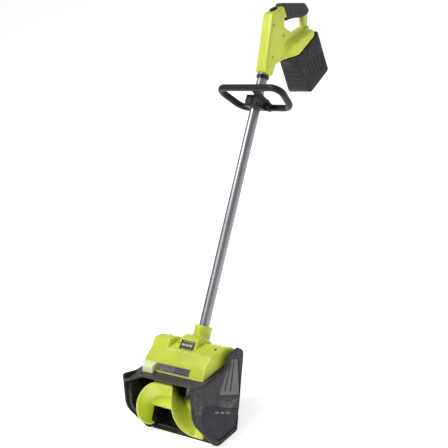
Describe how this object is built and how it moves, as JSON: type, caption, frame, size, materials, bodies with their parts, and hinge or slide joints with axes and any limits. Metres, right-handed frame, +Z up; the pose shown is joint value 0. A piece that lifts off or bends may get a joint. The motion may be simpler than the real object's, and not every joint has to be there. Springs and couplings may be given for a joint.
{
  "type": "cordless snow shovel",
  "caption": "Cordless snow shovel: auger head between side plates, long pole with a sliding loop handle, and a rear handle with trigger and slide-in battery.",
  "frame": {"origin": "on the ground, midway along the auger and right below its axis", "axes": "+Z up from the ground, -Y the way the shovel is pushed, +X to the user's right along the auger"},
  "size_m": [0.28, 0.9813, 0.9445],
  "materials": {
    "lime_plastic": "satin moulded, lime",
    "pale_lime_plastic": "satin moulded, pale lime",
    "black_plastic": "fine moulded texture, black",
    "charcoal_plastic": "moulded texture, charcoal",
    "grip_rubber": "soft-touch, matte",
    "steel": "zinc plated",
    "aluminium": "satin drawn tube",
    "circuit_board": "coated board",
    "grey_plastic": "printed plate with plain bars, no lettering"
  },
  "bodies": {
    "head": {"motor_hood": "lime_plastic", "handle_shell_right": "lime_plastic", "handle_shell_left": "lime_plastic", "drive_cover": "pale_lime_plastic", "pole_socket": "pale_lime_plastic", "auger_housing": "black_plastic", "belt_case": "black_plastic", "intake_visor": "black_plastic", "motor_deck": "black_plastic", "scraper_bar": "black_plastic", "pole_collar": "black_plastic", "switch_module": "black_plastic", "terminal_block": "black_plastic", "vent_grille": "black_plastic", "rear_cover": "black_plastic", "side_plate_left": "charcoal_plastic", "side_plate_right": "charcoal_plastic", "drive_belt": "grip_rubber", "power_cable": "grip_rubber", "grip_overmould": "grip_rubber", "socket_bolt": "steel", "motor_can": "steel", "motor_mount": "steel", "bearing_left": "steel", "bearing_right": "steel", "plate_screw_left_1": "steel", "plate_screw_left_2": "steel", "plate_screw_right_1": "steel", "plate_screw_right_2": "steel", "hood_screw_1": "steel", "hood_screw_2": "steel", "trigger_pin": "steel", "shell_screw_1": "steel", "shell_screw_2": "steel", "shell_screw_3": "steel", "pole_tube": "aluminium", "controller_board": "circuit_board", "hood_plate": "grey_plastic"},
    "auger": {"auger_shaft": "steel", "auger_hub": "lime_plastic", "auger_paddle_a": "lime_plastic", "auger_paddle_b": "lime_plastic", "driven_pulley": "black_plastic"},
    "rotor": {"motor_rotor": "steel", "motor_fan": "black_plastic", "motor_pulley": "black_plastic"},
    "loop": {"loop_handle": "black_plastic", "clamp_cap": "black_plastic", "clamp_bolt": "steel", "clamp_stud": "steel"},
    "knob": {"clamp_knob": "black_plastic"},
    "trigger": {"trigger": "black_plastic"},
    "lock_off": {"lock_off_button": "black_plastic"},
    "battery": {"battery_tub": "black_plastic", "battery_cover": "black_plastic", "battery_cells": "steel"},
    "latch_left": {"battery_latch_left": "black_plastic"},
    "latch_right": {"battery_latch_right": "black_plastic"},
    "gauge": {"gauge_button": "grip_rubber"}
  },
  "joints": [
    {"name": "auger_spin", "type": "hinge", "parent": "head", "child": "auger", "pos_m": [0, 0, 0.094], "axis": [1, 0, 0], "continuous": true},
    {"name": "motor_spin", "type": "hinge", "parent": "head", "child": "rotor", "pos_m": [-0.09, 0.102, 0.146], "axis": [1, 0, 0], "continuous": true},
    {"name": "loop_slide", "type": "slide", "parent": "head", "child": "loop", "axis": [0, 0.6756, 0.7373], "range_m": [-0.12, 0.02]},
    {"name": "knob_turn", "type": "hinge", "parent": "loop", "child": "knob", "pos_m": [0.036, 0.6162, 0.7048], "axis": [1, 0, 0], "continuous": true},
    {"name": "trigger_pull", "type": "hinge", "parent": "head", "child": "trigger", "pos_m": [0, 0.85, 0.896], "axis": [-1, 0, 0], "range_deg": [0, 8], "stiffness_Nm_per_rad": 1, "springref_deg": -2.86},
    {"name": "lock_off_press", "type": "slide", "parent": "head", "child": "lock_off", "axis": [0, 0, -1], "range_m": [0, 0.003], "stiffness_N_per_m": 800, "springref_m": -0.0005},
    {"name": "battery_slide", "type": "slide", "parent": "head", "child": "battery", "axis": [0, 0, -1], "range_m": [0, 0.06]},
    {"name": "latch_left_press", "type": "slide", "parent": "battery", "child": "latch_left", "axis": [1, 0, 0], "range_m": [0, 0.0025], "stiffness_N_per_m": 800, "springref_m": -0.0005},
    {"name": "latch_right_press", "type": "slide", "parent": "battery", "child": "latch_right", "axis": [-1, 0, 0], "range_m": [0, 0.0025], "stiffness_N_per_m": 800, "springref_m": -0.0005},
    {"name": "gauge_press", "type": "slide", "parent": "battery", "child": "gauge", "axis": [0, 1, 0], "range_m": [0, 0.0012], "stiffness_N_per_m": 500, "springref_m": -0.0005}
  ],
  "couplings": [
    {"joint": "motor_spin", "follows": "auger_spin", "ratio": 3.749}
  ]
}
